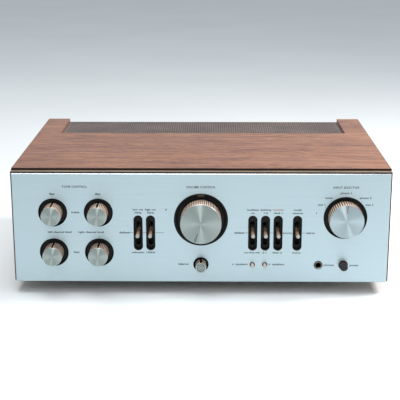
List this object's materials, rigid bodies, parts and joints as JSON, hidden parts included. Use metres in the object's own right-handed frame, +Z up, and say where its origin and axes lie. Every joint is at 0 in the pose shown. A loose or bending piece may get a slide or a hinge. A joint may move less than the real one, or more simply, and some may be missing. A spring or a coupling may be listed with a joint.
{
  "type": "integrated amplifier",
  "caption": "Full-width integrated amplifier: silver faceplate with rotary knobs, toggle levers and push buttons, in a wooden case with a rear top vent.",
  "frame": {"origin": "centre of the bounding box's base, which is the surface that the feet stand on", "axes": "+X to the right seen from the front (along the width), +Y from front to rear, +Z up"},
  "size_m": [0.44, 0.3314, 0.1495],
  "materials": {
    "faceplate": "fine horizontal brushing, pale silver anodised",
    "front_frame": "satin bronze anodised",
    "black_steel": "satin black paint",
    "black_plastic": "fine matte",
    "spun_knob": "spun face, knurled side",
    "lever_metal": "polished",
    "jack_metal": "polished nut",
    "zinc_steel": "zinc plated",
    "chassis_steel": "zinc plated sheet",
    "wood_veneer": "satin lacquered rosewood or walnut veneer, grain along the width",
    "vent_steel": "satin dark grey-brown paint, perforated",
    "foot_rubber": "matte",
    "core_laminations": "varnished steel laminations",
    "winding_tape": "yellow-brown insulating tape",
    "capacitor_sleeve": "heat-shrink sleeve",
    "black_aluminium": "black anodised extrusion",
    "circuit_board": "phenolic circuit board"
  },
  "bodies": {
    "root": {"ac_outlet_block": "black_plastic", "balance_pot": "zinc_steel", "case_left_board": "wood_veneer", "case_right_board": "wood_veneer", "case_top_board": "wood_veneer", "chassis_tray": "chassis_steel", "cord_gland": "black_plastic", "faceplate": "faceplate", "filter_capacitor_left": "capacitor_sleeve", "filter_capacitor_right": "capacitor_sleeve", "filter_switch_bank": "black_steel", "foot_front_left": "foot_rubber", "foot_front_right": "foot_rubber", "foot_rear_left": "foot_rubber", "foot_rear_right": "foot_rubber", "front_frame": "front_frame", "front_subpanel": "black_steel", "fuse_holder": "black_plastic", "ground_terminal": "zinc_steel", "headphone_jack": "jack_metal", "heat_sink": "black_aluminium", "input_jack_block": "black_plastic", "mode_switch": "black_steel", "power_amp_board": "circuit_board", "power_switch": "black_plastic", "preamp_board": "circuit_board", "rear_panel": "black_steel", "selector_switch": "zinc_steel", "speaker_switch_bank": "black_steel", "speaker_terminal_block": "black_plastic", "tape_switch_bank": "black_steel", "tone_control_board": "circuit_board", "transformer_core": "core_laminations", "transformer_winding": "winding_tape", "vent_grille": "vent_steel", "volume_bezel": "black_plastic", "volume_pot": "zinc_steel"},
    "volume": {"volume_knob": "spun_knob", "volume_shaft": "zinc_steel"},
    "balance": {"balance_knob": "spun_knob", "balance_shaft": "zinc_steel"},
    "treble_left": {"treble_left_knob": "spun_knob", "treble_left_shaft": "zinc_steel"},
    "treble_right": {"treble_right_knob": "spun_knob", "treble_right_shaft": "zinc_steel"},
    "bass_left": {"bass_left_knob": "spun_knob", "bass_left_shaft": "zinc_steel"},
    "bass_right": {"bass_right_knob": "spun_knob", "bass_right_shaft": "zinc_steel"},
    "selector": {"selector_knob": "spun_knob", "selector_shaft": "zinc_steel"},
    "low_cut": {"low_cut_lever": "lever_metal"},
    "high_cut": {"high_cut_lever": "lever_metal"},
    "loudness": {"loudness_lever": "lever_metal"},
    "dubbing": {"dubbing_lever": "lever_metal"},
    "monitor": {"monitor_lever": "lever_metal"},
    "mode": {"mode_lever": "lever_metal"},
    "speaker_a": {"speaker_a_button": "spun_knob"},
    "speaker_b": {"speaker_b_button": "spun_knob"},
    "power": {"power_button": "black_plastic"}
  },
  "joints": [
    {"name": "volume_turn", "type": "hinge", "parent": "root", "child": "volume", "pos_m": [0, -0.1472, 0.0912], "axis": [0, 1, 0], "range_deg": [0, 320]},
    {"name": "balance_turn", "type": "hinge", "parent": "root", "child": "balance", "pos_m": [0, -0.1472, 0.0365], "axis": [0, 1, 0], "range_deg": [-150, 150]},
    {"name": "treble_left_turn", "type": "hinge", "parent": "root", "child": "treble_left", "pos_m": [-0.1717, -0.1472, 0.0995], "axis": [0, 1, 0], "range_deg": [-150, 150]},
    {"name": "treble_right_turn", "type": "hinge", "parent": "root", "child": "treble_right", "pos_m": [-0.1188, -0.1472, 0.0995], "axis": [0, 1, 0], "range_deg": [-150, 150]},
    {"name": "bass_left_turn", "type": "hinge", "parent": "root", "child": "bass_left", "pos_m": [-0.1717, -0.1472, 0.0512], "axis": [0, 1, 0], "range_deg": [-150, 150]},
    {"name": "bass_right_turn", "type": "hinge", "parent": "root", "child": "bass_right", "pos_m": [-0.1188, -0.1472, 0.0512], "axis": [0, 1, 0], "range_deg": [-150, 150]},
    {"name": "selector_turn", "type": "hinge", "parent": "root", "child": "selector", "pos_m": [0.167, -0.1472, 0.0937], "axis": [0, 1, 0], "range_deg": [-60, 60]},
    {"name": "low_cut_throw", "type": "hinge", "parent": "root", "child": "low_cut", "pos_m": [-0.073, -0.1212, 0.075], "axis": [-1, 0, 0], "range_deg": [-25, 25]},
    {"name": "high_cut_throw", "type": "hinge", "parent": "root", "child": "high_cut", "pos_m": [-0.0585, -0.1212, 0.075], "axis": [-1, 0, 0], "range_deg": [-25, 25]},
    {"name": "loudness_throw", "type": "hinge", "parent": "root", "child": "loudness", "pos_m": [0.06015, -0.1212, 0.075], "axis": [-1, 0, 0], "range_deg": [-25, 25]},
    {"name": "dubbing_throw", "type": "hinge", "parent": "root", "child": "dubbing", "pos_m": [0.0748, -0.1212, 0.075], "axis": [-1, 0, 0], "range_deg": [-25, 25]},
    {"name": "monitor_throw", "type": "hinge", "parent": "root", "child": "monitor", "pos_m": [0.0895, -0.1212, 0.075], "axis": [-1, 0, 0], "range_deg": [-25, 25]},
    {"name": "mode_throw", "type": "hinge", "parent": "root", "child": "mode", "pos_m": [0.11185, -0.1212, 0.075], "axis": [-1, 0, 0], "range_deg": [-25, 25]},
    {"name": "speaker_a_press", "type": "slide", "parent": "root", "child": "speaker_a", "axis": [0, 1, 0], "range_m": [0, 0.003], "stiffness_N_per_m": 250, "springref_m": -0.002},
    {"name": "speaker_b_press", "type": "slide", "parent": "root", "child": "speaker_b", "axis": [0, 1, 0], "range_m": [0, 0.003], "stiffness_N_per_m": 250, "springref_m": -0.002},
    {"name": "power_press", "type": "slide", "parent": "root", "child": "power", "axis": [0, 1, 0], "range_m": [0, 0.004], "stiffness_N_per_m": 400, "springref_m": -0.002}
  ]
}
